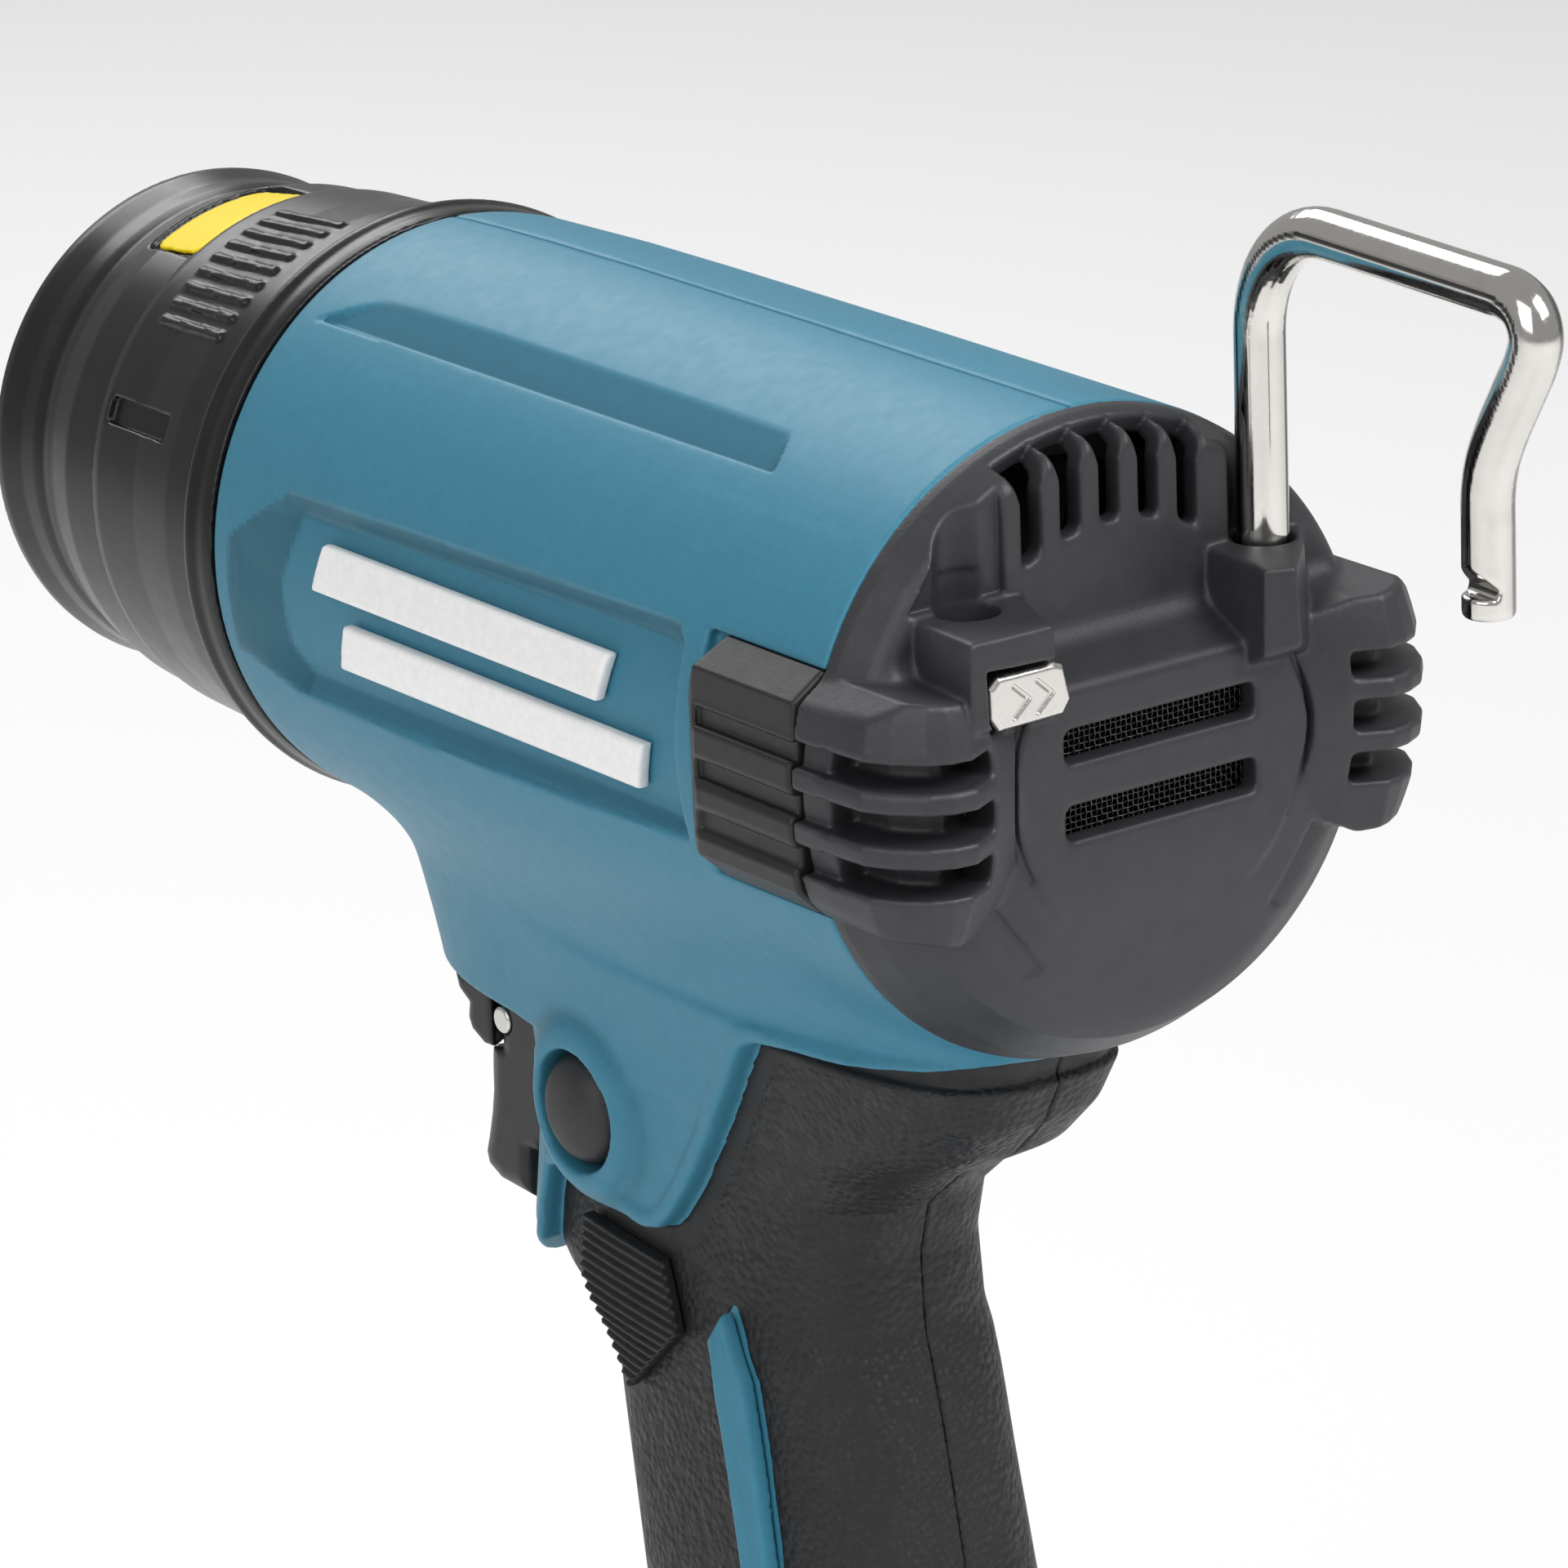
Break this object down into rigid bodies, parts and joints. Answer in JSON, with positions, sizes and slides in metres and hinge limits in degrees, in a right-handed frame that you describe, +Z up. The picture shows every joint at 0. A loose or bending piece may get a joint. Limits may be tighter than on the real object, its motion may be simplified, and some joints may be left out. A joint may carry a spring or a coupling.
{
  "type": "heat gun",
  "caption": "Cordless heat gun with a swivelling hanging hook, trigger with lock-off lever, lock-on button, twist-off front protector and slide-on battery.",
  "frame": {"origin": "centre of the battery's flat underside, which the tool stands on", "axes": "+Z up, -Y towards the nozzle, +Y towards the hook and air intake, +X towards the tool's left side"},
  "size_m": [0.0748, 0.2044, 0.2816],
  "materials": {
    "teal_shell": "moulded teal plastic with fine texture",
    "grey_cover": "glass-filled dark grey plastic, fine grain",
    "black_plastic": "black plastic, satin",
    "front_black": "heat-resistant black plastic, semi-gloss",
    "rubber_grip": "soft overmoulded elastomer, leather grain",
    "plated_steel": "nickel plated, polished",
    "screw_steel": "zinc plated",
    "screen_steel": "woven wire screen",
    "nozzle_steel": "drawn sheet steel",
    "mica": "pressed mica board",
    "heater_wire": "resistance alloy wire, dull",
    "inner_plastic": "heat-resistant black plastic",
    "circuit_board": "coated circuit board",
    "warning_yellow": "printed label, plain",
    "cell_can": "sleeved cell"
  },
  "bodies": {
    "housing": {"housing_left": "teal_shell", "housing_right": "teal_shell", "grip_left": "rubber_grip", "grip_right": "rubber_grip", "grip_inlay_left": "teal_shell", "grip_inlay_right": "teal_shell", "housing_screw_1": "screw_steel", "housing_screw_2": "screw_steel", "housing_screw_3": "screw_steel", "housing_screw_4": "screw_steel", "housing_screw_5": "screw_steel", "housing_screw_6": "screw_steel", "housing_screw_7": "screw_steel", "rear_cover": "grey_cover", "side_pad_left": "black_plastic", "side_pad_right": "black_plastic", "intake_screen": "screen_steel", "collar_ring": "front_black", "nozzle_tube": "nozzle_steel", "insulating_tube": "mica", "heater_former": "mica", "heater_coil": "heater_wire", "thermal_cutout": "nozzle_steel", "fan_duct": "inner_plastic", "motor_can": "nozzle_steel", "switch_body": "inner_plastic", "control_board": "circuit_board", "terminal_block": "inner_plastic", "trigger_spring": "screw_steel", "hook_release_spring": "screw_steel"},
    "fan": {"fan_impeller": "inner_plastic", "motor_shaft": "screw_steel"},
    "protector": {"front_protector": "front_black", "warning_patch": "warning_yellow"},
    "hook_clip": {"hook_clip": "plated_steel"},
    "hook": {"hook": "plated_steel"},
    "release_button": {"hook_release_button": "plated_steel"},
    "trigger": {"trigger": "black_plastic", "lever_pin": "plated_steel"},
    "trigger_lever": {"trigger_lever": "black_plastic"},
    "lock_on_button": {"lock_on_button": "rubber_grip"},
    "temperature_dial": {"temperature_dial": "black_plastic"},
    "battery": {"battery_lower_case": "black_plastic", "battery_upper_case": "grey_cover", "battery_cell_1": "cell_can", "battery_cell_2": "cell_can", "battery_cell_3": "cell_can", "battery_cell_4": "cell_can", "battery_cell_5": "cell_can", "battery_cell_6": "cell_can", "battery_cell_7": "cell_can", "battery_cell_8": "cell_can", "battery_cell_9": "cell_can", "battery_cell_10": "cell_can", "battery_board": "circuit_board"},
    "battery_latch": {"battery_latch": "black_plastic"}
  },
  "joints": [
    {"name": "fan_spin", "type": "hinge", "parent": "housing", "child": "fan", "pos_m": [0, 0.037, 0.2308], "axis": [0, -1, 0], "continuous": true},
    {"name": "protector_twist", "type": "hinge", "parent": "housing", "child": "protector", "pos_m": [0, -0.07, 0.2308], "axis": [0, -1, 0], "range_deg": [0, 20]},
    {"name": "hook_lift", "type": "slide", "parent": "housing", "child": "hook_clip", "axis": [0, 0, 1], "range_m": [-0.009, 0]},
    {"name": "hook_swivel", "type": "hinge", "parent": "hook_clip", "child": "hook", "pos_m": [-0.01753, 0.0564, 0.2478], "axis": [0, 0, 1], "range_deg": [-86, 94]},
    {"name": "hook_release_press", "type": "slide", "parent": "housing", "child": "release_button", "axis": [0, -1, 0], "range_m": [0, 0.0018], "stiffness_N_per_m": 800, "deforming": ["hook_release_spring"]},
    {"name": "trigger_pull", "type": "slide", "parent": "housing", "child": "trigger", "axis": [0, 1, 0], "range_m": [0, 0.004], "stiffness_N_per_m": 1200, "deforming": ["trigger_spring"]},
    {"name": "trigger_lever_press", "type": "hinge", "parent": "trigger", "child": "trigger_lever", "pos_m": [0, -0.0372, 0.1804], "axis": [-1, 0, 0], "range_deg": [0, 8], "stiffness_Nm_per_rad": 0.05},
    {"name": "lock_on_press", "type": "slide", "parent": "housing", "child": "lock_on_button", "axis": [-1, 0, 0], "range_m": [0, 0.0023], "stiffness_N_per_m": 900},
    {"name": "temperature_dial_turn", "type": "hinge", "parent": "housing", "child": "temperature_dial", "pos_m": [0, -0.032, 0.0808], "axis": [0, 0, 1], "range_deg": [-135, 135]},
    {"name": "battery_slide", "type": "slide", "parent": "housing", "child": "battery", "axis": [0, -1, 0], "range_m": [0, 0.115]},
    {"name": "battery_latch_press", "type": "slide", "parent": "battery", "child": "battery_latch", "axis": [0, 0, -1], "range_m": [0, 0.0035], "stiffness_N_per_m": 1500}
  ]
}
